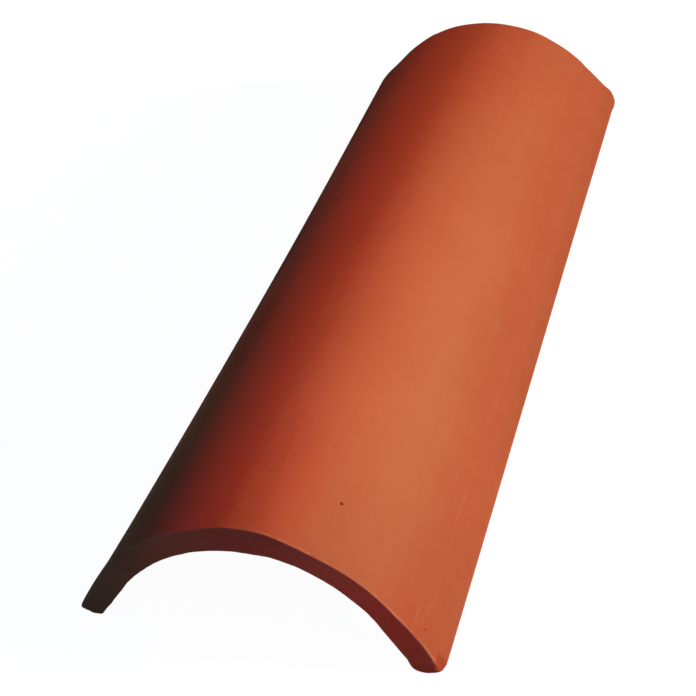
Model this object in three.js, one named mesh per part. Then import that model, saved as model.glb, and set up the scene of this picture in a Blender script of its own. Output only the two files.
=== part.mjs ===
// Barrel roof tile, also called a mission, monk or cover tile: one slab of fired clay, bent hump up over a
// tapered former, so that the wide lower end of each tile laps over the narrow upper end of the next one down.
//
// Millimetres, +Z up. The tile lies along Y, its wide end at -Y and its narrow end at +Y. The origin is under
// the middle of the tile, on the plane that its two long edges, its feet, rest on.
//
// Each face of its wall is a crown arc that runs on into two straight flanks, cut off level at the feet. The
// wall thins from the crown to the feet. The slab's four corners are rounded, and so is every edge: the feet
// more than the cut ends.

import * as THREE from "three";
import { mergeVertices } from "three/addons/utils/BufferGeometryUtils.js";

// Sizes, over the outside and before any edge is rounded
const tileLength = 450;
const wideEnd = { width: 158, height: 63.5, flankAngle: 61.5 };
const narrowEnd = { width: 139, height: 44, flankAngle: 50 };
const wallThickness = 11.5; // at the crown
const footWidth = 10.6; // of the level foot under each flank
const cornerRadius = 7; // of the slab's four corners, seen square to the flank
const endEdgeRadius = 1; // of the two cut ends' edges
const footEdgeRadius = 2; // of the edges along the feet

// Facets
const arcSegments = 18; // on half of the crown
const edgeSegments = 3;
const cornerSegments = 5;
const bodySegments = 10;
const leastStep = 0.2; // between two sections
const samePlace = 1e-4; // points this close are one point

const clay = new THREE.MeshStandardMaterial({ name: "fired_clay", color: 0xc2623f, roughness: 0.85, metalness: 0 });

// Depth of a rounding of the given radius, at a distance in from the end where it starts.
function roundingDepth(radius, distance) {
  const left = Math.max(radius - distance, 0);
  return radius - Math.sqrt(radius * radius - left * left);
}

// A point at a radius round a centre. The angle is 0 at the top and grows towards the side.
function polar(centre, radius, angle) {
  return new THREE.Vector2(centre.x + radius * Math.sin(angle), centre.y + radius * Math.cos(angle));
}

// The crown arc of a face with this half width, height and flank angle.
function outerCrown(halfWidth, height, angle) {
  const radius = (halfWidth * Math.sin(angle) - height * Math.cos(angle)) / (1 - Math.cos(angle));
  return { centre: new THREE.Vector2(0, height - radius), radius, angle };
}

// The crown arc one wall further in. Its flank is the tangent to it from the inner corner of the foot.
function innerCrown(outer, halfWidth) {
  const radius = outer.radius - wallThickness;
  const corner = new THREE.Vector2(halfWidth - footWidth, 0).sub(outer.centre);
  const angle = Math.asin(radius / corner.length()) - Math.atan2(corner.y, corner.x);
  return { centre: outer.centre, radius, angle };
}

// Half of one face of the wall, from the crown to the foot: points along the crown arc, then round the edge
// of the foot. The face is inset into the wall where the end of the tile is rounded. side is 1 on the outer
// face and -1 on the inner one.
function halfFace(crown, side, inset, footHeight) {
  const { centre, radius, angle } = crown;
  const points = [];
  for (let i = 0; i <= arcSegments; i++) {
    points.push(polar(centre, radius - side * inset, (angle * i) / arcSegments));
  }
  const shoulder = polar(centre, radius - side * footEdgeRadius, angle);
  const drop = shoulder.y - footHeight - footEdgeRadius;
  const roundingCentre = new THREE.Vector2(shoulder.x + drop / Math.tan(angle), footHeight + footEdgeRadius);
  const start = side > 0 ? angle : angle + Math.PI;
  for (let i = 0; i <= edgeSegments; i++) {
    const turn = THREE.MathUtils.lerp(start, Math.PI, i / edgeSegments);
    points.push(polar(roundingCentre, footEdgeRadius - inset, turn));
  }
  return points;
}

// The half given and its mirror image, from the left foot over the crown to the right foot.
function bothHalves(half, y) {
  const left = half.slice(1).reverse().map((p) => new THREE.Vector3(-p.x, y, p.y));
  return [...left, ...half.map((p) => new THREE.Vector3(p.x, y, p.y))];
}

// The section at a distance along the tile from its wide end, as the points of its outer and inner face.
function sectionAt(distance) {
  const between = (size) => THREE.MathUtils.lerp(wideEnd[size], narrowEnd[size], distance / tileLength);
  const halfWidth = between("width") / 2;
  const flankAngle = THREE.MathUtils.degToRad(between("flankAngle"));
  const outer = outerCrown(halfWidth, between("height"), flankAngle);
  const inner = innerCrown(outer, halfWidth);

  const fromEnd = Math.min(distance, tileLength - distance);
  const inset = roundingDepth(endEdgeRadius, fromEnd);
  const footHeight = roundingDepth(cornerRadius, fromEnd) * Math.sin(flankAngle);
  const y = distance - tileLength / 2;
  return {
    outer: bothHalves(halfFace(outer, 1, inset, footHeight), y),
    inner: bothHalves(halfFace(inner, -1, inset, footHeight), y),
  };
}

// Distances from the wide end at which the section is taken: close together where an end is rounded.
function stations() {
  const arc = (radius, segments) =>
    Array.from({ length: segments + 1 }, (_, i) => radius * (1 - Math.cos((Math.PI / 2) * (i / segments))));
  const end = [...arc(endEdgeRadius, edgeSegments), ...arc(cornerRadius, cornerSegments).slice(1)];
  const body = tileLength - 2 * cornerRadius;
  const middle = Array.from({ length: bodySegments - 1 }, (_, i) => cornerRadius + (body * (i + 1)) / bodySegments);
  const all = [...end, ...middle, ...end.map((d) => tileLength - d)].sort((a, b) => a - b);
  return all.filter((d, i) => i === 0 || d - all[i - 1] > leastStep || d === tileLength);
}

// Skins the sections into one closed solid, with a flat face at each end.
function loft(sections) {
  const rings = sections.map(({ outer, inner }) => [...outer, ...inner.slice().reverse()]);
  const ringSize = rings[0].length;
  const triangles = [];
  const addQuad = (a, b, c, d) => triangles.push([a, b, c], [a, c, d]);

  for (let ring = 0; ring < rings.length - 1; ring++) {
    for (let i = 0; i < ringSize; i++) {
      const next = (i + 1) % ringSize;
      const [near, far] = [ring * ringSize, (ring + 1) * ringSize];
      addQuad(near + i, near + next, far + next, far + i);
    }
  }
  const lastRing = (rings.length - 1) * ringSize;
  for (let i = 0; i < ringSize / 2 - 1; i++) {
    const [outer, inner] = [i, ringSize - 1 - i];
    addQuad(outer + 1, outer, inner, inner - 1);
    addQuad(lastRing + outer, lastRing + outer + 1, lastRing + inner - 1, lastRing + inner);
  }

  const geometry = new THREE.BufferGeometry().setFromPoints(rings.flat());
  geometry.setIndex(triangles.flat());
  return withoutCollapsedFaces(mergeVertices(geometry, samePlace));
}

// Where a rounding runs out, some of its points meet. Triangles with two corners in one place are dropped.
function withoutCollapsedFaces(geometry) {
  const index = geometry.getIndex().array;
  const kept = [];
  for (let i = 0; i < index.length; i += 3) {
    const [a, b, c] = index.slice(i, i + 3);
    if (a !== b && b !== c && c !== a) kept.push(a, b, c);
  }
  geometry.setIndex(kept);
  geometry.computeVertexNormals();
  return geometry;
}

const tile = new THREE.Mesh(loft(stations().map(sectionAt)), clay);
tile.name = "barrel_tile";

const group = new THREE.Group();
group.add(tile);

export default group;
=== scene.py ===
import math

import bmesh
import bpy
from mathutils import Matrix, Vector, noise


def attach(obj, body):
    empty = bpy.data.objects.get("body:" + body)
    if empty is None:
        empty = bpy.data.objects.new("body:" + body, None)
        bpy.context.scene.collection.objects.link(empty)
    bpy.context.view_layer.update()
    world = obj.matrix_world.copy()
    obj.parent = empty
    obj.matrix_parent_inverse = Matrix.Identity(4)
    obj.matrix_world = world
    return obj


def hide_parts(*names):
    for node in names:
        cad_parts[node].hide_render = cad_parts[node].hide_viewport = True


# A barrel roof tile of fired clay, lying hump up on a pale floor, its wide end at -Y.
# Metres, +Z up. The mesh follows the solid and adds what a hand and a kiln leave on it.

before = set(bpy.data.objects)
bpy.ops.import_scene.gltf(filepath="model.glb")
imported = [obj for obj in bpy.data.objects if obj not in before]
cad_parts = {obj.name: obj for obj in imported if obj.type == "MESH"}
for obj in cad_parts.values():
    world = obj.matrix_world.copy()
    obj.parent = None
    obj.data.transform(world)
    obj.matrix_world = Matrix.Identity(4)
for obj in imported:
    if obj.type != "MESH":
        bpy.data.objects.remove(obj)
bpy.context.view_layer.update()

tileNode = "barrel_tile"


def mix(a, b, share):
    return a + (b - a) * share


def ramp(low, high, value):
    share = min(max((value - low) / (high - low), 0), 1)
    return share * share * (3 - 2 * share)


# Shape of the tile, over the outside and before any edge is rounded
tile = {
    "length": 0.450,
    "wideEnd": {"width": 0.158, "height": 0.0635, "flankAngle": 61.5},
    "narrowEnd": {"width": 0.139, "height": 0.044, "flankAngle": 50.0},
    "wall": 0.0115,  # at the crown
    "footWidth": 0.0106,
    "cornerRadius": 0.007,  # of the slab's four corners
    "endEdgeRadius": 0.0005,
    "footEdgeRadius": 0.0020,
    "crownSteps": 50,  # on half of the crown
    "flankSteps": 16,
    "edgeSteps": 4,
    "cornerSteps": 6,
    "wallSteps": 7,
    "lengthStep": 0.0018,
    "edgeClear": 1.1,  # edge radii from the end before the corner adds sections
    "footSkin": 0.0005,  # points below this height belong to a foot
    "sameVertex": 2e-6,
}

# Kinds of face, in the order of the finishes
smoothKind, cutKind, sandedKind = 0, 1, 2

# How the tile departs from its drawing
handShaping = {
    "waist": 0.0020,  # the sides draw in, halfway along
    "flare": 0.0012,  # and spread at the narrow end
    "flareFrom": 0.6,  # of the length
    "sideBend": 0.0011,  # to the right, halfway along
    "drift": -0.0016,  # of the narrow end
    "freeHeight": 0.012,  # the feet stay flat, and the wall moves freely from this height up
    "swellCentre": -0.03,  # the wall swells away from a line this far under the floor
    "waves": 0.00022,
    "waveLength": 0.085,
    "dents": 0.00009,
    "dentLength": 0.030,
    "pull": 0.000045,  # lines left by smoothing along the tile
    "pullSpacing": 0.005,
    "pullLength": 0.16,
    "cutWaves": 0.00022,  # across the wire-cut ends
    "cutWaveLength": 0.022,
    "edgeWobble": 0.00012,
    "edgeWobbleLength": 0.009,
    "edgeWobbleReach": 0.0035,  # in from the edge
    "edgeWorn": 0.25,  # edges are worn down more than they stand up
    "sand": 0.00011,  # on the underside, from the sanded former
    "sandSize": 0.0030,
    "scrape": 0.00007,
    "scrapeSpacing": 0.007,
    "scrapeSqueeze": 0.04,  # of the pattern along the tile, which draws the marks out
    "footRelief": 0.15,  # share of all this relief that is left at the feet
    "unevenLength": 0.090,  # from each end
}

waveSeeds = {
    "waves": 3.1,
    "dents": 7.7,
    "pull": 1.3,
    "cutWaves": 5.9,
    "scrape": 9.2,
    "sand": 4.4,
    "edgeWobble": 11.5,
}

# The uneven wall near the two ends. Across the tile: where a face starts to move outward, between where and
# where it has moved all the way, and where that stops.
wallShifts = {
    ("wide", "outer"): [
        {"start": -0.024, "full": (-0.006, 0.004), "stop": 0.020, "by": 0.0013},
        {"start": 0.010, "full": (0.032, 0.060), "stop": 0.068, "by": -0.0017},
        {"start": 0.066, "full": (0.071, 0.073), "stop": 0.077, "by": 0.0007},
    ],
    ("wide", "inner"): [
        {"start": -0.070, "full": (-0.062, -0.053), "stop": -0.045, "by": 0.0005},
        {"start": 0.002, "full": (0.010, 0.020), "stop": 0.028, "by": 0.0005},
    ],
    ("narrow", "outer"): [
        {"start": -0.072, "full": (-0.060, 0.050), "stop": 0.062, "by": -0.0005},
        {"start": -0.066, "full": (-0.054, -0.044), "stop": -0.036, "by": -0.0003},
        {"start": 0.022, "full": (0.034, 0.052), "stop": 0.064, "by": -0.0005},
    ],
    ("narrow", "inner"): [],
}

# Pits in the smooth face and chips off the edges. Iron stains a pit, and a chip bares redder clay.
# A flaw of negative depth is a low lump.
flaws = [
    {"at": (0.0300, -0.1918, 0.0555), "radius": 0.0009, "depth": 0.0006, "stain": 0.9},
    {"at": (0.0386, 0.1524, 0.0346), "radius": 0.0007, "depth": 0.0004, "stain": 0.8},
    {"at": (0.0603, -0.2099, 0.0316), "radius": 0.0006, "depth": 0.0003, "stain": 0.4},
    {"at": (0.0686, -0.2174, 0.0182), "radius": 0.0008, "depth": 0.0003, "stain": 0.5},
    {"at": (0.0444, 0.0565, 0.0347), "radius": 0.0006, "depth": 0.0002, "stain": 0.4},
    {"at": (-0.0420, -0.0850, 0.0470), "radius": 0.0009, "depth": 0.0005, "stain": 0.8},
    {"at": (-0.0560, 0.0930, 0.0260), "radius": 0.0007, "depth": 0.0004, "stain": 0.6},
    {"at": (0.0762, -0.2224, 0.0046), "radius": 0.0066, "depth": 0.0007, "bared": 0.8},
    {"at": (0.0700, -0.2225, 0.0030), "radius": 0.0085, "depth": -0.0012},
    {"at": (-0.0765, -0.2225, 0.0030), "radius": 0.0060, "depth": 0.0012},
    {"at": (-0.0730, -0.2200, 0.0140), "radius": 0.0130, "depth": -0.0007},
    {"at": (-0.0670, -0.2240, 0.0040), "radius": 0.0090, "depth": 0.0003},
    {"at": (0.0290, -0.2250, 0.0590), "radius": 0.0022, "depth": 0.0003, "bared": 0.4},
    {"at": (-0.0560, -0.2250, 0.0400), "radius": 0.0030, "depth": 0.0005, "bared": 0.4},
    {"at": (-0.0360, 0.2250, 0.0365), "radius": 0.0026, "depth": 0.0005, "bared": 0.4},
    {"at": (0.0510, 0.2250, 0.0210), "radius": 0.0036, "depth": 0.0002, "bared": 0.5},
    {"at": (0.0660, 0.2225, 0.0035), "radius": 0.0110, "depth": -0.0006},
    {"at": (-0.0745, -0.0600, 0.0008), "radius": 0.0034, "depth": 0.0006, "bared": 0.4},
    {"at": (0.0600, 0.0700, 0.0008), "radius": 0.0030, "depth": 0.0005, "bared": 0.4},
]

flawShape = {
    "ragged": 0.35,  # how far its outline strays, as a share of its radius
    "raggedSize": 0.6,  # of that straying, in radii
    "bowlPower": 1.5,
    "stainFull": 0.45,  # share of its depth at which its stain is full
    "baredFull": 0.5,
    "finerBelow": 0.008,  # smaller flaws get finer faces
    "finerReach": 0.0015,  # past the radius, on the first pass
    "secondPass": 0.0007,  # the second and third pass reach this much less
    "thirdPass": 0.0012,
    "thirdBelow": 0.003,  # the third pass is for flaws that reach less than this
}


def roundingDepth(radius, distance):
    left = max(radius - distance, 0)
    return radius - math.sqrt(radius * radius - left * left)


def crownAt(distance):
    # the arc's centre height, then the radius and flank angle of the outer face and of the inner face
    share = distance / tile["length"]
    wide, narrow = tile["wideEnd"], tile["narrowEnd"]
    halfWidth = mix(wide["width"], narrow["width"], share) / 2
    height = mix(wide["height"], narrow["height"], share)
    angle = math.radians(mix(wide["flankAngle"], narrow["flankAngle"], share))
    radius = (halfWidth * math.sin(angle) - height * math.cos(angle)) / (1 - math.cos(angle))
    centre = height - radius
    innerRadius = radius - tile["wall"]
    footX = halfWidth - tile["footWidth"]
    innerAngle = math.asin(innerRadius / math.hypot(footX, centre)) + math.atan2(centre, footX)
    return centre, (radius, angle), (innerRadius, innerAngle)


def polar(x, z, radius, angle):
    return x + radius * math.sin(angle), z + radius * math.cos(angle)


def halfFace(centre, arc, side, inset, lift):
    # crown arc, straight flank, then round the edge of the foot; side is 1 outside and -1 inside
    radius, angle = arc
    edge = tile["footEdgeRadius"]
    points = [
        polar(0, centre, radius - side * inset, angle * i / tile["crownSteps"])
        for i in range(tile["crownSteps"])
    ]
    shoulder = polar(0, centre, radius - side * edge, angle)
    low = lift + edge
    roundingX = shoulder[0] + (shoulder[1] - low) / math.tan(angle)
    start = angle if side > 0 else angle + math.pi
    top = polar(0, centre, radius - side * inset, angle)
    end = polar(roundingX, low, edge - inset, start)
    for i in range(tile["flankSteps"]):
        share = i / tile["flankSteps"]
        points.append((mix(top[0], end[0], share), mix(top[1], end[1], share)))
    for i in range(tile["edgeSteps"] + 1):
        turn = mix(start, math.pi, i / tile["edgeSteps"])
        points.append(polar(roundingX, low, edge - inset, turn))
    return points


def sectionAt(distance):
    # right half of the section, from the outer crown round the foot and back to the inner crown
    centre, outer, inner = crownAt(distance)
    fromEnd = min(distance, tile["length"] - distance)
    inset = roundingDepth(tile["endEdgeRadius"], fromEnd)
    lift = roundingDepth(tile["cornerRadius"], fromEnd) * math.sin(outer[1])
    outside = halfFace(centre, outer, 1, inset, lift)
    inside = halfFace(centre, inner, -1, inset, lift)
    a, b = outside[-1], inside[-1]
    foot = [
        (mix(a[0], b[0], i / tile["wallSteps"]), mix(a[1], b[1], i / tile["wallSteps"]))
        for i in range(1, tile["wallSteps"])
    ]
    return outside + foot + inside[::-1]


def stations():
    def endStations(radius, steps):
        return [radius * (1 - math.cos(math.pi / 2 * i / steps)) for i in range(steps + 1)]

    edge = tile["endEdgeRadius"]
    ends = endStations(edge, tile["edgeSteps"])
    corner = endStations(tile["cornerRadius"], tile["cornerSteps"])
    ends += [d for d in corner if d > tile["edgeClear"] * edge]
    body = tile["length"] - 2 * tile["cornerRadius"]
    count = round(body / tile["lengthStep"])
    middle = [tile["cornerRadius"] + body * i / count for i in range(1, count)]
    return ends + middle + [tile["length"] - d for d in reversed(ends)]


def buildShell():
    # vertices, faces and face kinds: smoothed outside, cut at the ends and feet, sanded underneath
    vertices, faces, kinds = [], [], []
    places = stations()
    for distance in places:
        half = sectionAt(distance)
        ring = half + [(-x, z) for x, z in reversed(half[1:-1])]
        vertices += [(x, distance - tile["length"] / 2, z) for x, z in ring]
    halfCount = len(half)
    ringCount = len(ring)
    outerSpan = tile["crownSteps"] + tile["flankSteps"] + tile["edgeSteps"]
    smoothSpan = outerSpan - tile["edgeSteps"] // 2

    def kindOf(i):
        step = min(i, ringCount - 1 - i)
        if step < smoothSpan:
            return smoothKind
        return cutKind if step < halfCount - 1 - smoothSpan else sandedKind

    for section in range(len(places) - 1):
        here, there = section * ringCount, (section + 1) * ringCount
        for i in range(ringCount):
            j = (i + 1) % ringCount
            faces.append((here + i, there + i, there + j, here + j))
            kinds.append(kindOf(i))

    # the two ends, in rows across the wall from the outer to the inner face
    for end, flip in ((0, False), (len(places) - 1, True)):
        base = end * ringCount
        rows = []
        for i in range(-outerSpan, outerSpan + 1):
            outer = base + i % ringCount
            inner = base + (halfCount - 1 - i) % ringCount
            if abs(i) == outerSpan:
                step = 1 if i > 0 else -1
                rows.append([base + (i + step * k) % ringCount for k in range(tile["wallSteps"] + 1)])
                continue
            row = [outer]
            a, b = vertices[outer], vertices[inner]
            for k in range(1, tile["wallSteps"]):
                share = k / tile["wallSteps"]
                vertices.append(tuple(mix(a[n], b[n], share) for n in range(3)))
                row.append(len(vertices) - 1)
            rows.append(row + [inner])
        for rowA, rowB in zip(rows, rows[1:]):
            for k in range(tile["wallSteps"]):
                quad = (rowA[k], rowB[k], rowB[k + 1], rowA[k + 1])
                faces.append(quad[::-1] if flip else quad)
                kinds.append(cutKind)
    return vertices, faces, kinds


def refineAround(mesh, spots):
    near = set()
    for face in mesh.faces:
        centre = face.calc_center_median()
        if any((centre - at).length < reach for at, reach in spots):
            near.update(face.edges)
    bmesh.ops.subdivide_edges(mesh, edges=list(near), cuts=1, use_grid_fill=True)


def refineFlaws(mesh):
    # finer faces round each small flaw, so that it is a real hollow
    look = flawShape
    small = [flaw for flaw in flaws if flaw["radius"] < look["finerBelow"]]
    spots = [(Vector(flaw["at"]), flaw["radius"] + look["finerReach"]) for flaw in small]
    refineAround(mesh, spots)
    refineAround(mesh, [(at, reach - look["secondPass"]) for at, reach in spots])
    least = [(at, reach - look["thirdPass"]) for at, reach in spots if reach < look["thirdBelow"]]
    refineAround(mesh, least)


def arrisDistance(p, fromFace):
    # how far a point of the surface is from the nearest edge of the tile: the second least of its distances
    # to a cut end, to the feet and to the outer or inner face
    fromEnd = tile["length"] / 2 - abs(p.y)
    return sorted((max(fromEnd, 0), max(p.z, 0), fromFace))[1]


def waveField(p, length, seed):
    return noise.noise(p / length + Vector((seed, -seed, 2 * seed)))


def wallGaps(p):
    # distances from a point of the wall to the outer and to the inner face
    centre, outer, inner = crownAt(p.y + tile["length"] / 2)

    def beyond(arc):
        turn = min(math.atan2(abs(p.x), p.z - centre), arc[1])
        return abs(p.x) * math.sin(turn) + (p.z - centre) * math.cos(turn) - arc[0]

    return max(-beyond(outer), 0), max(beyond(inner), 0)


def unevenWall(p):
    # outward shift of a point near one of the ends
    fromEnd = tile["length"] / 2 - abs(p.y)
    if fromEnd > handShaping["unevenLength"]:
        return Vector()
    end = "wide" if p.y < 0 else "narrow"
    outerGap, innerGap = wallGaps(p)
    outerShare = innerGap / (outerGap + innerGap)
    shift = 0.0
    for face, share in (("outer", outerShare), ("inner", 1 - outerShare)):
        for part in wallShifts[end, face]:
            fullFrom, fullTo = part["full"]
            here = ramp(part["start"], fullFrom, p.x) * ramp(part["stop"], fullTo, p.x)
            shift += share * part["by"] * here
    centre, (_, flankAngle), _ = crownAt(p.y + tile["length"] / 2)
    turn = math.copysign(min(math.atan2(abs(p.x), p.z - centre), flankAngle), p.x)
    outward = Vector((math.sin(turn), 0, math.cos(turn)))
    return outward * shift * ramp(handShaping["unevenLength"], 0, fromEnd)


def shapeByHand(p, normal, kindShares, arris):
    # where a point of the drawn tile ends up on the real one
    smooth, cut, sanded = kindShares
    share = p.y / tile["length"] + 0.5
    halfway = 4 * share * (1 - share)
    hand = handShaping
    halfWidth = mix(tile["wideEnd"]["width"], tile["narrowEnd"]["width"], share) / 2
    moved = p.copy()
    spread = hand["flare"] * ramp(hand["flareFrom"], 1.0, share) - hand["waist"] * halfway
    moved.x += spread / 2 * p.x / halfWidth
    moved.x += hand["sideBend"] * halfway + hand["drift"] * share

    # the whole wall rises and falls together, and rests flat on its feet
    free = ramp(0, hand["freeHeight"], p.z)
    outward = Vector((p.x, 0, p.z - hand["swellCentre"])).normalized()
    swell = hand["waves"] * waveField(p, hand["waveLength"], waveSeeds["waves"])
    swell += hand["dents"] * waveField(p, hand["dentLength"], waveSeeds["dents"])
    moved += outward * swell * free + unevenWall(p)

    pulled = Vector((p.x, p.y * hand["pullSpacing"] / hand["pullLength"], p.z))
    relief = smooth * hand["pull"] * waveField(pulled, hand["pullSpacing"], waveSeeds["pull"])
    relief += cut * hand["cutWaves"] * waveField(p, hand["cutWaveLength"], waveSeeds["cutWaves"])
    scraped = Vector((p.x, p.y * hand["scrapeSqueeze"], p.z))
    relief += sanded * hand["scrape"] * waveField(scraped, hand["scrapeSpacing"], waveSeeds["scrape"])
    relief += sanded * hand["sand"] * waveField(p, hand["sandSize"], waveSeeds["sand"])
    wobble = waveField(p, hand["edgeWobbleLength"], waveSeeds["edgeWobble"]) - hand["edgeWorn"]
    relief += hand["edgeWobble"] * wobble * ramp(hand["edgeWobbleReach"], 0.0, arris)
    moved += normal * relief * mix(hand["footRelief"], 1, free)
    return moved


def hollowOut(p):
    # depth of the flaws at a point, and how stained and how bared it is there
    depth, stain, bared = 0.0, 0.0, 0.0
    look = flawShape
    for flaw in flaws:
        radius = flaw["radius"]
        reach = radius * (1 + look["ragged"] * noise.noise(p / (look["raggedSize"] * radius)))
        gap = (p - Vector(flaw["at"])).length / reach
        if gap < 1:
            bowl = (1 - gap * gap) ** look["bowlPower"]
            depth += flaw["depth"] * bowl
            stain = max(stain, flaw.get("stain", 0) * ramp(0.0, look["stainFull"], bowl))
            bared = max(bared, flaw.get("bared", 0) * ramp(0.0, look["baredFull"], bowl))
    return depth, stain, bared


def buildTile():
    vertices, faces, kinds = buildShell()
    data = bpy.data.meshes.new("barrelTile")
    data.from_pydata(vertices, [], faces)
    data.polygons.foreach_set("material_index", kinds)
    mesh = bmesh.new()
    mesh.from_mesh(data)
    bmesh.ops.remove_doubles(mesh, verts=mesh.verts, dist=tile["sameVertex"])
    bmesh.ops.recalc_face_normals(mesh, faces=mesh.faces)
    refineFlaws(mesh)

    arrisLayer = mesh.verts.layers.float.new("arris")
    stainLayer = mesh.verts.layers.float.new("stain")
    baredLayer = mesh.verts.layers.float.new("bared")
    mesh.normal_update()
    moves = []
    for vert in mesh.verts:
        kindShares = [0.0, 0.0, 0.0]
        for face in vert.link_faces:
            kindShares[face.material_index] += 1 / len(vert.link_faces)
        onCutOnly = all(face.material_index == cutKind for face in vert.link_faces)
        inCutEnd = onCutOnly and vert.co.z > tile["footSkin"]
        fromFace = min(wallGaps(vert.co)) if inCutEnd else 0.0
        arris = arrisDistance(vert.co, fromFace)
        place = shapeByHand(vert.co, vert.normal, kindShares, arris)
        depth, stain, bared = hollowOut(vert.co)
        vert[arrisLayer], vert[stainLayer], vert[baredLayer] = arris, stain, bared
        place -= vert.normal * depth
        place.z = max(place.z, 0)
        moves.append(place)
    for vert, place in zip(mesh.verts, moves):
        vert.co = place
    for face in mesh.faces:
        face.smooth = True
    mesh.to_mesh(data)
    mesh.free()
    piece = bpy.data.objects.new("barrelTile", data)
    bpy.context.collection.objects.link(piece)
    return piece


# Small helpers that keep the node trees readable
nodeGrid = {"columns": 12, "width": 190, "height": 260}


def addNode(tree, kind, inputs=(), **settings):
    node = tree.nodes.new(kind)
    row, column = divmod(len(tree.nodes), nodeGrid["columns"])
    node.location = (column * nodeGrid["width"], -row * nodeGrid["height"])
    for name, value in settings.items():
        setattr(node, name, value)
    for key, value in dict(inputs).items():
        if isinstance(value, bpy.types.NodeSocket):
            tree.links.new(value, node.inputs[key])
        else:
            node.inputs[key].default_value = value
    return node


def calc(tree, operation, *values, clamp=False):
    node = addNode(tree, "ShaderNodeMath", enumerate(values), operation=operation, use_clamp=clamp)
    return node.outputs[0]


def times(tree, *values):
    product = values[0]
    for value in values[1:]:
        product = calc(tree, "MULTIPLY", product, value)
    return product


def vectorCalc(tree, operation, *values, output=0):
    return addNode(tree, "ShaderNodeVectorMath", enumerate(values), operation=operation).outputs[output]


def remap(tree, value, low, high, toLow=0.0, toHigh=1.0):
    limits = {"Value": value, "From Min": low, "From Max": high, "To Min": toLow, "To Max": toHigh}
    return addNode(tree, "ShaderNodeMapRange", limits, interpolation_type="SMOOTHSTEP").outputs[0]


def blend(tree, factor, a, b):
    # colour a, turning into colour b as the factor goes to 1
    return addNode(tree, "ShaderNodeMix", {0: factor, 6: a, 7: b}, data_type="RGBA").outputs[2]


def clouds(tree, place, scale, detail=2.0, roughness=0.5):
    sockets = {"Vector": place, "Scale": scale, "Detail": detail, "Roughness": roughness}
    return addNode(tree, "ShaderNodeTexNoise", sockets).outputs["Fac"]


def newGroup(name, inputs, outputs):
    # inputs and outputs: the name of each socket, and its kind
    group = bpy.data.node_groups.new(name, "ShaderNodeTree")
    for side, sockets in (("INPUT", inputs), ("OUTPUT", outputs)):
        for label, kind in sockets.items():
            group.interface.new_socket(label, in_out=side, socket_type="NodeSocket" + kind)
    return group, group.nodes.new("NodeGroupInput").outputs, group.nodes.new("NodeGroupOutput")


def useGroup(tree, group, **values):
    # socket names as keywords, with their spaces left out
    node = addNode(tree, "ShaderNodeGroup", node_tree=group)
    for socket in node.inputs:
        value = values.get(socket.name.replace(" ", ""))
        if isinstance(value, bpy.types.NodeSocket):
            tree.links.new(value, socket)
        elif value is not None:
            socket.default_value = value
    return node.outputs


# Where the clay's tints begin and where they are full, in metres: along the tile, across it and up it
tints = {
    # painted sheen: the clay is paler up on the crown
    "crown": {"height": (0.020, 0.050)},
    "narrowEnd": {"along": (0.10, 0.17), "right": (0.045, 0.020), "left": (-0.026, -0.002), "most": 0.6},
    # painted shade: the clay to the left of the crown, the side away from the key lamp, is redder
    "left": {"across": (0.015, -0.029), "askew": 0.10},  # askew is across per metre along
    "leftBulge": {"at": -0.09, "reach": (0.07, 0.02), "by": 0.008},
    # painted light: brighter red at the left of the wide end
    "warm": {"along": (-0.14, -0.21), "across": (0.005, -0.018)},
    "rim": {"along": (-0.13, -0.20), "middle": 0.003, "reach": (0.024, 0.008), "most": 0.6},
    # painted shade: darker down the left flank, the side away from the key lamp, most toward the wide end
    "leftFlank": {"along": (0.12, -0.06), "across": (-0.032, -0.054), "least": 0.60, "most": 1.0},
    "farLeftFlank": {"along": (-0.20, 0.0)},
    # paler low on the flanks near the wide end
    "rubbed": {"along": (-0.15, -0.20), "height": (0.040, 0.022), "most": 0.10},
    # painted shade: darker low near the feet, away from the wide end
    "low": {"along": (-0.12, -0.04), "height": (0.014, 0.003), "most": 0.35},
}

bodyTexture = {
    "clouds": {"scale": 14, "detail": 2, "roughness": 0.5},
    "cloudSpan": (0.32, 0.70),
    "mottle": {"scale": 95, "detail": 3, "roughness": 0.6},
    "mottleSpan": (0.35, 0.68),
    "cloudTone": 0.6,  # the clouds' share of the tone, and the mottling's
    "mottleTone": 0.4,
    "grog": {"scale": 1100, "detail": 2, "roughness": 0.6},
    "darkGrog": (0.60, 0.72),
    "paleGrog": (0.40, 0.30),
}


def tintMask(tree, tint, first, firstSpan, second, secondSpan):
    # full where both coordinates are past the end of their spans
    share = remap(tree, first, *tint[firstSpan], tint.get("least", 0.0), tint.get("most", 1.0))
    return times(tree, share, remap(tree, second, *tint[secondSpan]))


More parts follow.
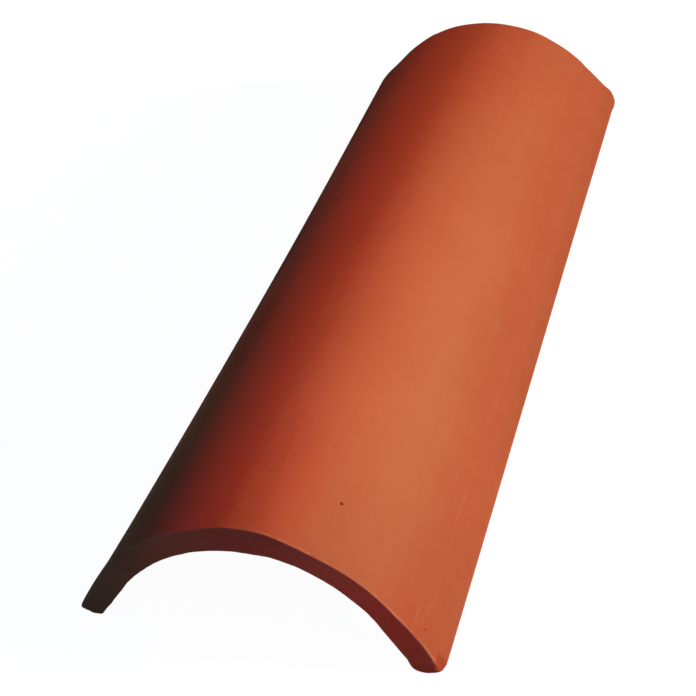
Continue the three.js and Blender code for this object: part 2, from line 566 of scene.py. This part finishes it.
def makeClayColourAndPaintedLightGroup():
    # the clay's colour with painted light and shade: paler on the crown, a painted sheen; redder low on the
    # right flank and at the narrow end; redder to the left of the crown, darkest down the left flank and
    # darker low near the feet, all painted shade; brighter and warmest at the left of the wide end, painted
    # light; paler low at the wide end; with slow clouds, smaller mottling, and grains of grog
    colors = ("Crown", "Flank", "Left", "Near Left Flank", "Far Left Flank", "Warm", "Deep", "Pale")
    sockets = {"Place": "Vector", **{name: "Color" for name in colors}}
    sockets.update({"Clouding": "Float", "Mottling": "Float", "Grog": "Float"})
    group, given, out = newGroup("clayBody", sockets, {"Color": "Color", "Tone": "Float"})
    place = given["Place"]
    look = bodyTexture
    cloud = remap(group, clouds(group, place, **look["clouds"]), *look["cloudSpan"])
    mottle = remap(group, clouds(group, place, **look["mottle"]), *look["mottleSpan"])
    cloudTone = times(group, cloud, look["cloudTone"])
    tone = calc(group, "ADD", cloudTone, times(group, mottle, look["mottleTone"]))
    across, along, height = addNode(group, "ShaderNodeSeparateXYZ", {0: place}).outputs

    # the border of the painted shade left of the crown runs askew, and bulges to the left before the wide end
    left, bulge = tints["left"], tints["leftBulge"]
    askew = calc(group, "ADD", across, times(group, along, left["askew"]))
    fromBulge = calc(group, "ABSOLUTE", calc(group, "SUBTRACT", along, bulge["at"]))
    askew = calc(group, "ADD", askew, remap(group, fromBulge, *bulge["reach"], 0.0, bulge["by"]))

    fromMiddle = calc(group, "ABSOLUTE", calc(group, "SUBTRACT", across, tints["rim"]["middle"]))
    rim = tintMask(group, tints["rim"], along, "along", fromMiddle, "reach")
    narrow = tintMask(group, tints["narrowEnd"], along, "along", across, "right")
    narrow = times(group, narrow, remap(group, across, *tints["narrowEnd"]["left"]))
    # painted shade down the left flank, from a nearer to a farther colour
    paintedShadeMask = tintMask(group, tints["leftFlank"], along, "along", across, "across")
    far = remap(group, along, *tints["farLeftFlank"]["along"])
    leftFlank = blend(group, far, given["Near Left Flank"], given["Far Left Flank"])
    # painted light at the left of the wide end
    warm = tintMask(group, tints["warm"], along, "along", across, "across")
    # paler low on the flanks near the wide end
    rubbed = tintMask(group, tints["rubbed"], along, "along", height, "height")
    # painted shade low near the feet
    low = tintMask(group, tints["low"], along, "along", height, "height")

    # painted sheen on the crown
    color = blend(group, remap(group, height, *tints["crown"]["height"]), given["Flank"], given["Crown"])
    color = blend(group, narrow, color, given["Flank"])
    # painted shade to the left of the crown
    color = blend(group, remap(group, askew, *left["across"]), color, given["Left"])
    color = blend(group, warm, color, given["Warm"])
    color = blend(group, rim, color, given["Flank"])
    color = blend(group, paintedShadeMask, color, leftFlank)
    color = blend(group, rubbed, color, given["Pale"])
    color = blend(group, low, color, given["Deep"])
    color = blend(group, times(group, cloud, given["Clouding"]), color, given["Deep"])
    color = blend(group, times(group, mottle, given["Mottling"]), color, given["Pale"])
    grain = clouds(group, place, **look["grog"])
    darkGrain = times(group, remap(group, grain, *look["darkGrog"]), given["Grog"])
    paleGrain = times(group, remap(group, grain, *look["paleGrog"]), given["Grog"])
    color = blend(group, darkGrain, color, given["Deep"])
    color = blend(group, paleGrain, color, given["Pale"])
    group.links.new(color, out.inputs["Color"])
    group.links.new(tone, out.inputs["Tone"])
    return group


def makeStreakGroup():
    # long soft marks that run along the tile, as a mask around a middle of 0.5
    sockets = {"Place": "Vector", "Spacing": "Float", "Length": "Float"}
    group, given, out = newGroup("pulledStreaks", sockets, {"Mask": "Float"})
    along = calc(group, "DIVIDE", given["Spacing"], given["Length"])
    squeeze = addNode(group, "ShaderNodeCombineXYZ", {0: 1.0, 1: along, 2: 1.0}).outputs[0]
    place = vectorCalc(group, "MULTIPLY", given["Place"], squeeze)
    scale = calc(group, "DIVIDE", 1.0, given["Spacing"])
    mask = clouds(group, place, scale, detail=3, roughness=0.55)
    group.links.new(mask, out.inputs["Mask"])
    return group


# Sizes and heights beside those of the fine grain
grainShape = {
    "fine": {"detail": 4, "roughness": 0.62},
    "coarseScale": 0.22,
    "coarse": 0.8,
    "poreScale": 0.30,
    "closedPores": 0.82,  # share of the places that have no pore
    "poreSpan": (0.30, 0.12),  # from a pore's rim to its floor
}


def makeGrainGroup():
    # height of the fired surface, from fine and coarse grain and open pores
    sockets = {"Place": "Vector", "Size": "Float", "Grain": "Float", "Pores": "Float"}
    group, given, out = newGroup("clayGrain", sockets, {"Height": "Float", "Pore Mask": "Float"})
    look = grainShape
    place = given["Place"]
    fineScale = calc(group, "DIVIDE", 1.0, given["Size"])
    fine = clouds(group, place, fineScale, **look["fine"])
    coarse = clouds(group, place, times(group, fineScale, look["coarseScale"]))
    cells = {"Vector": place, "Scale": times(group, fineScale, look["poreScale"])}
    pores = addNode(group, "ShaderNodeTexVoronoi", cells)
    chosen = addNode(group, "ShaderNodeSeparateColor", {0: pores.outputs["Color"]}).outputs[0]
    openPore = calc(group, "GREATER_THAN", chosen, look["closedPores"])
    pit = times(group, remap(group, pores.outputs["Distance"], *look["poreSpan"]), openPore, given["Pores"])
    grain = calc(group, "ADD", fine, times(group, coarse, look["coarse"]))
    height = calc(group, "SUBTRACT", times(group, grain, given["Grain"]), pit)
    group.links.new(height, out.inputs["Height"])
    group.links.new(pit, out.inputs["Pore Mask"])
    return group


edgeWearAndHighlightShape = {
    "patches": {"scale": 160, "detail": 3, "roughness": 0.6},
    "patchSpan": (0.30, 0.70),
    "widths": (0.35, 1.5),  # least and most, as a share of Width
    "fade": (1.0, 0.15),
    "sideSpan": (-0.02, 0.03),  # from the left side to the right side
    "sides": (0.15, 1.0),  # wear and painted highlight on the left and on the right
}


def makeEdgeWearAndHighlightGroup():
    # worn edges with a painted highlight: 1 on the arris, fading out unevenly over Width; the right side,
    # toward the key lamp, gets the more of it
    sockets = {"Place": "Vector", "Arris": "Float", "Width": "Float", "Amount": "Float"}
    group, given, out = newGroup("edgeWearAndHighlight", sockets, {"Mask": "Float"})
    look = edgeWearAndHighlightShape
    patches = clouds(group, given["Place"], **look["patches"])
    uneven = remap(group, patches, *look["patchSpan"], *look["widths"])
    near = calc(group, "DIVIDE", given["Arris"], times(group, given["Width"], uneven))
    across = addNode(group, "ShaderNodeSeparateXYZ", {0: given["Place"]}).outputs[0]
    amount = times(group, given["Amount"], remap(group, across, *look["sideSpan"], *look["sides"]))
    mask = times(group, remap(group, near, *look["fade"]), amount)
    group.links.new(mask, out.inputs["Mask"])
    return group


scuffShape = {
    "fade": (1.0, 0.1),  # from its rim to its middle, in widths
    "ends": 0.08,  # how soon it is full, in from each end
    "breaks": {"scale": 260},
    "breakSpan": (0.30, 0.56),
    "leastLeft": 0.25,
}


def makeScuffGroup():
    # a pale rub between two points, broken up along its length
    sockets = {"Place": "Vector", "Start": "Vector", "End": "Vector", "Width": "Float", "Amount": "Float"}
    group, given, out = newGroup("paleScuff", sockets, {"Mask": "Float"})
    look = scuffShape
    run = vectorCalc(group, "SUBTRACT", given["End"], given["Start"])
    offset = vectorCalc(group, "SUBTRACT", given["Place"], given["Start"])
    along = vectorCalc(group, "DOT_PRODUCT", offset, run, output=1)
    wholeRun = vectorCalc(group, "DOT_PRODUCT", run, run, output=1)
    share = calc(group, "DIVIDE", along, wholeRun, clamp=True)
    nearest = addNode(group, "ShaderNodeVectorMath", {0: run, "Scale": share}, operation="SCALE").outputs[0]
    gap = vectorCalc(group, "LENGTH", vectorCalc(group, "SUBTRACT", offset, nearest), output=1)
    near = remap(group, calc(group, "DIVIDE", gap, given["Width"]), *look["fade"])
    fromEnds = times(group, calc(group, "SUBTRACT", 1.0, share), share)
    fade = remap(group, fromEnds, 0.0, look["ends"])
    breaks = clouds(group, given["Place"], **look["breaks"])
    broken = remap(group, breaks, *look["breakSpan"], look["leastLeft"], 1.0)
    mask = times(group, times(group, near, fade), times(group, broken, given["Amount"]))
    group.links.new(mask, out.inputs["Mask"])
    return group


speckShape = {
    "leastSize": 0.5,  # in radii, and the largest speck is one radius more
    "fade": (1.0, 0.5),
}


def makeSpeckGroup():
    # iron specks, few and far between
    sockets = {"Place": "Vector", "Spacing": "Float", "Radius": "Float", "Share": "Float"}
    group, given, out = newGroup("ironSpecks", sockets, {"Mask": "Float"})
    cells = {"Vector": given["Place"], "Scale": calc(group, "DIVIDE", 1.0, given["Spacing"])}
    specks = addNode(group, "ShaderNodeTexVoronoi", cells)
    picks = addNode(group, "ShaderNodeSeparateColor", {0: specks.outputs["Color"]}).outputs
    chosen = calc(group, "LESS_THAN", picks[0], given["Share"])
    largest = calc(group, "DIVIDE", given["Radius"], given["Spacing"])
    size = times(group, largest, calc(group, "ADD", picks[1], speckShape["leastSize"]))
    near = remap(group, calc(group, "DIVIDE", specks.outputs["Distance"], size), *speckShape["fade"])
    group.links.new(times(group, near, chosen), out.inputs["Mask"])
    return group


clayColourAndPaintedLightGroup = makeClayColourAndPaintedLightGroup()
streakGroup = makeStreakGroup()
grainGroup = makeGrainGroup()
edgeWearAndHighlightGroup = makeEdgeWearAndHighlightGroup()
scuffGroup = makeScuffGroup()
speckGroup = makeSpeckGroup()
print("clay effects ready:", len(bpy.data.node_groups))

clayLook = {
    # painted sheen: the paler colour of the crown
    "crown": (0.618, 0.203, 0.081, 1),
    "flank": (0.592, 0.127, 0.049, 1),
    # painted shade: the redder colour to the left of the crown
    "left": (0.616, 0.151, 0.077, 1),
    # painted shade on the far part of the left flank
    "farLeftFlank": (0.520, 0.125, 0.057, 1),
    # deep: darker clay for clouds, grog, streaks and pores, and also the painted shade low near the feet
    "deep": (0.470, 0.095, 0.036, 1),
    "pale": (0.680, 0.230, 0.110, 1),
    "iron": (0.060, 0.022, 0.014, 1),
    # pale worn edges, partly a painted highlight along the arris
    "wornEdge": (0.720, 0.280, 0.140, 1),
    "dust": (0.760, 0.330, 0.190, 1),
    "bared": (0.490, 0.080, 0.035, 1),
    "specular": 0.006,
    "streakSpacing": 0.0045,
    "streakLength": 0.14,
    "paleStreakSpan": (0.52, 0.75),
    "deepStreakSpan": (0.48, 0.28),
    "streakRelief": 0.5,
    "speckSpacing": 0.017,
    "speckRadius": 0.00035,
    "speckShare": 0.30,
    "speckStrength": 0.6,
    "poreStrength": 0.25,
    "stainStrength": 0.85,
    "reliefHeight": 0.0002,
}

# Pale rubs on the flanks: from, to, width, strength
scuffs = [
    ((0.0660, -0.1290, 0.0182), (0.0661, -0.1560, 0.0192), 0.0014, 0.10),
    ((0.0662, -0.1500, 0.0193), (0.0674, -0.1730, 0.0182), 0.0012, 0.04),
    ((0.0681, -0.1875, 0.0183), (0.0682, -0.2040, 0.0188), 0.0013, 0.07),
    ((0.0683, -0.1985, 0.0184), (0.0669, -0.2190, 0.0216), 0.0014, 0.10),
    ((0.0652, -0.2095, 0.0236), (0.0654, -0.2190, 0.0237), 0.0017, 0.15),
    ((0.0623, -0.1497, 0.0256), (0.0634, -0.1565, 0.0238), 0.0011, 0.06),
    ((0.0556, -0.0350, 0.0280), (0.0562, -0.0280, 0.0266), 0.0018, 0.13),
    ((0.0550, -0.0320, 0.0288), (0.0556, -0.0200, 0.0275), 0.0040, 0.04),
    ((-0.0600, 0.0200, 0.0250), (-0.0595, 0.0700, 0.0235), 0.0020, 0.15),
]

# What sets the three surfaces of the one clay apart, their painted shade down the near left flank and painted
# light at the left of the wide end among it
finishes = [
    {
        "name": "smoothedClay",
        "nearLeftFlank": (0.425, 0.194, 0.080, 1),
        "warm": (0.700, 0.148, 0.080, 1),
        "clouding": 0.16,
        "mottling": 0.08,
        "grog": 0.08,
        "streaks": 0.06,
        "grainSize": 0.0007,
        "grain": 0.45,
        "pores": 0.6,
        "bump": 0.35,
        "roughness": (0.74, 0.86),
        "wearWidth": 0.0013,
        "wear": 0.75,
        "scuffs": scuffs,
    },
    {
        "name": "cutClay",
        "nearLeftFlank": (0.430, 0.158, 0.049, 1),
        "warm": (0.650, 0.165, 0.061, 1),
        "clouding": 0.25,
        "mottling": 0.15,
        "grog": 0.25,
        "streaks": 0.08,
        "grainSize": 0.0011,
        "grain": 0.9,
        "pores": 0.5,
        "bump": 0.6,
        "roughness": (0.84, 0.94),
        "wearWidth": 0.0009,
        "wear": 0.45,
        "scuffs": [],
    },
    {
        "name": "sandedClay",
        "nearLeftFlank": (0.290, 0.090, 0.041, 1),
        "warm": (0.650, 0.136, 0.072, 1),
        "clouding": 0.50,
        "mottling": 0.45,
        "grog": 0.55,
        "streaks": 0.25,
        "grainSize": 0.0012,
        "grain": 1.3,
        "pores": 1.0,
        "bump": 0.8,
        "roughness": (0.88, 0.97),
        "wearWidth": 0.0010,
        "wear": 0.35,
        "scuffs": [],
    },
]


def makeClay(finish):
    look = clayLook
    material = bpy.data.materials.new(finish["name"])
    material.use_nodes = True
    tree = material.node_tree
    tree.nodes.clear()
    place = addNode(tree, "ShaderNodeTexCoord").outputs["Object"]
    arris, stain, bared = (
        addNode(tree, "ShaderNodeAttribute", attribute_name=name).outputs["Fac"]
        for name in ("arris", "stain", "bared")
    )

    body = useGroup(
        tree, clayColourAndPaintedLightGroup, Place=place, Crown=look["crown"], Flank=look["flank"], Left=look["left"],
        NearLeftFlank=finish["nearLeftFlank"], FarLeftFlank=look["farLeftFlank"], Warm=finish["warm"],
        Deep=look["deep"], Pale=look["pale"],
        Clouding=finish["clouding"], Mottling=finish["mottling"], Grog=finish["grog"],
    )
    streaks = useGroup(
        tree, streakGroup, Place=place, Spacing=look["streakSpacing"], Length=look["streakLength"]
    )["Mask"]
    grain = useGroup(
        tree, grainGroup, Place=place, Size=finish["grainSize"], Grain=finish["grain"], Pores=finish["pores"]
    )
    wearAndHighlightMask = useGroup(
        tree, edgeWearAndHighlightGroup, Place=place, Arris=arris, Width=finish["wearWidth"], Amount=finish["wear"]
    )["Mask"]
    specks = useGroup(
        tree, speckGroup, Place=place, Spacing=look["speckSpacing"], Radius=look["speckRadius"],
        Share=look["speckShare"],
    )["Mask"]

    color = body["Color"]
    paleStreak = times(tree, remap(tree, streaks, *look["paleStreakSpan"]), finish["streaks"])
    deepStreak = times(tree, remap(tree, streaks, *look["deepStreakSpan"]), finish["streaks"])
    color = blend(tree, paleStreak, color, look["pale"])
    color = blend(tree, deepStreak, color, look["deep"])
    for start, end, width, amount in finish["scuffs"]:
        rub = useGroup(tree, scuffGroup, Place=place, Start=start, End=end, Width=width, Amount=amount)
        color = blend(tree, rub["Mask"], color, look["dust"])
    # worn edges, partly a painted highlight along the arris
    color = blend(tree, wearAndHighlightMask, color, look["wornEdge"])
    color = blend(tree, bared, color, look["bared"])
    color = blend(tree, times(tree, specks, look["speckStrength"]), color, look["iron"])
    color = blend(tree, times(tree, grain["Pore Mask"], look["poreStrength"]), color, look["deep"])
    color = blend(tree, times(tree, stain, look["stainStrength"]), color, look["iron"])

    smoothest, roughest = finish["roughness"]
    rough = remap(tree, body["Tone"], 0.0, 1.0, smoothest, roughest)
    height = calc(tree, "ADD", grain["Height"], times(tree, streaks, look["streakRelief"]))
    relief = {"Strength": finish["bump"], "Distance": look["reliefHeight"], "Height": height}
    bump = addNode(tree, "ShaderNodeBump", relief).outputs[0]
    surface = {
        "Base Color": color, "Roughness": rough, "Normal": bump, "Specular IOR Level": look["specular"]
    }
    shader = addNode(tree, "ShaderNodeBsdfPrincipled", surface).outputs[0]
    addNode(tree, "ShaderNodeOutputMaterial", {"Surface": shader})
    return material


barrelTile = buildTile()
for finish in finishes:
    barrelTile.data.materials.append(makeClay(finish))
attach(barrelTile, "root")
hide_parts(tileNode)
barrelTile.data.calc_loop_triangles()
print("tile built:", len(barrelTile.data.loop_triangles), "triangles")


# Floor, which reads white to the camera and still keeps the tile's shadow
studio = {
    "floorSize": 6.0,
    "floorGlow": 0.965,
    "floorColor": (0.22, 0.22, 0.22, 1),
    "ambient": (0.038, 0.036, 0.052, 1),
    "lamps": [
        {
            "name": "keyLamp",  # a long soft box, low on the right
            "about": (0.0, 0.0, 0.030), "azimuth": 104, "elevation": 13, "distance": 0.91,
            "aim": (-0.250, 0.090, 0.030), "size": (0.32, 0.82), "spread": 25,
            "power": 0.888, "color": (1.0, 1.0, 1.0),
        },
        {
            "name": "fillLamp",  # a warm strip over the left flank, turned away from the wide end
            "about": (0.0, 0.320, 0.030), "azimuth": -12, "elevation": 29, "distance": 0.36,
            "aim": (0.400, 0.070, 0.030), "size": (0.05, 0.57), "spread": 142,
            "power": 0.497, "color": (1.0, 0.30, 0.16),
        },
        {
            "name": "frontLamp",  # a small warm lamp on the right half of the wide end
            "about": (0.038, -0.225, 0.028), "azimuth": 48, "elevation": 0, "distance": 0.270,
            "aim": (0.038, -0.225, 0.028), "size": (0.06, 0.06), "spread": 25,
            "power": 0.0048, "color": (1.0, 0.05, 0.05),
        },
        {
            "name": "skyLamp",  # cool, from the front
            "about": (0.0, 0.0, 0.030), "azimuth": -17, "elevation": 18, "distance": 2.0,
            "aim": (0.0, 0.0, 0.030), "size": (0.7, 0.7), "spread": 180,
            "power": 6.4, "color": (0.05, 0.40, 1.0),
        },
        {
            "name": "backLamp",  # weak, on the narrow end
            "about": (0.0, 0.0, 0.030), "azimuth": 180, "elevation": 5, "distance": 1.5,
            "aim": (0.0, 0.0, 0.030), "size": (0.5, 0.5), "spread": 180,
            "power": 1.25, "color": (1.0, 1.0, 1.0),
        },
    ],
}


def whiteForCamera(tree):
    # 1 where the camera, a mirror or glass looks at the surface
    path = addNode(tree, "ShaderNodeLightPath").outputs
    seen = calc(tree, "MAXIMUM", path["Is Camera Ray"], path["Is Glossy Ray"])
    return calc(tree, "MAXIMUM", seen, path["Is Transmission Ray"])


def buildFloor():
    half = studio["floorSize"] / 2
    corners = [(-half, -half, 0), (half, -half, 0), (half, half, 0), (-half, half, 0)]
    data = bpy.data.meshes.new("floor")
    data.from_pydata(corners, [], [(0, 1, 2, 3)])
    floor = bpy.data.objects.new("floor", data)
    bpy.context.collection.objects.link(floor)
    material = bpy.data.materials.new("paleFloor")
    material.use_nodes = True
    tree = material.node_tree
    tree.nodes.clear()
    paint = addNode(tree, "ShaderNodeBsdfDiffuse", {"Color": studio["floorColor"]}).outputs[0]
    strength = times(tree, whiteForCamera(tree), studio["floorGlow"])
    glow = addNode(tree, "ShaderNodeEmission", {"Strength": strength}).outputs[0]
    both = addNode(tree, "ShaderNodeAddShader", {0: paint, 1: glow}).outputs[0]
    addNode(tree, "ShaderNodeOutputMaterial", {"Surface": both})
    data.materials.append(material)


def buildWorld():
    world = bpy.data.worlds.new("studio")
    bpy.context.scene.world = world
    world.use_nodes = True
    tree = world.node_tree
    tree.nodes.clear()
    dim = addNode(tree, "ShaderNodeBackground", {"Color": studio["ambient"], "Strength": 1.0}).outputs[0]
    white = addNode(tree, "ShaderNodeBackground", {"Color": (1, 1, 1, 1), "Strength": 1.0}).outputs[0]
    chosen = addNode(tree, "ShaderNodeMixShader", {0: whiteForCamera(tree), 1: dim, 2: white}).outputs[0]
    addNode(tree, "ShaderNodeOutputWorld", {"Surface": chosen})


def direction(azimuth, elevation):
    # azimuth 0 is in front of the wide end, 90 is to its right
    a, e = math.radians(azimuth), math.radians(elevation)
    return Vector((math.sin(a) * math.cos(e), -math.cos(a) * math.cos(e), math.sin(e)))


def addLamp(lamp):
    data = bpy.data.lights.new(lamp["name"], "AREA")
    data.shape = "RECTANGLE"
    data.size, data.size_y = lamp["size"]
    data.spread = math.radians(lamp["spread"])
    data.energy = lamp["power"]
    data.color = lamp["color"]
    aim = Vector(lamp["aim"])
    place = Vector(lamp["about"]) + direction(lamp["azimuth"], lamp["elevation"]) * lamp["distance"]
    back = (place - aim).normalized()
    side = Vector((0, 1, 0)).cross(back).normalized()
    thing = bpy.data.objects.new(lamp["name"], data)
    axes = Matrix((side, back.cross(side), back)).transposed().to_4x4()
    thing.matrix_world = Matrix.Translation(place) @ axes
    thing.visible_camera = False
    bpy.context.collection.objects.link(thing)


buildFloor()
buildWorld()
for lamp in studio["lamps"]:
    addLamp(lamp)
print("studio lit by", len(studio["lamps"]), "lamps")

view = {
    "target": (-0.01210, -0.04924, 0.01898),
    "azimuth": 18.80,
    "elevation": 37.30,
    "roll": -4.31,
    "distance": 0.9195,
    "lens": 102.15,
    "sensor": 36,
    "shift": (0.0028, -0.0017),
    "farthest": 100,
}


def placeCamera():
    back = direction(view["azimuth"], view["elevation"])
    right = (-back).cross(Vector((0, 0, 1))).normalized()
    up = right.cross(-back)
    roll = math.radians(view["roll"])
    rolledRight = math.cos(roll) * right + math.sin(roll) * up
    rolledUp = math.cos(roll) * up - math.sin(roll) * right
    data = bpy.data.cameras.new("camera")
    data.lens = view["lens"]
    data.sensor_width = view["sensor"]
    data.shift_x, data.shift_y = view["shift"]
    data.clip_end = view["farthest"]
    camera = bpy.data.objects.new("camera", data)
    axes = Matrix((rolledRight, rolledUp, back)).transposed().to_4x4()
    camera.matrix_world = Matrix.Translation(Vector(view["target"]) + back * view["distance"]) @ axes
    bpy.context.collection.objects.link(camera)
    bpy.context.scene.camera = camera


placeCamera()
bpy.context.scene.view_settings.view_transform = "Standard"
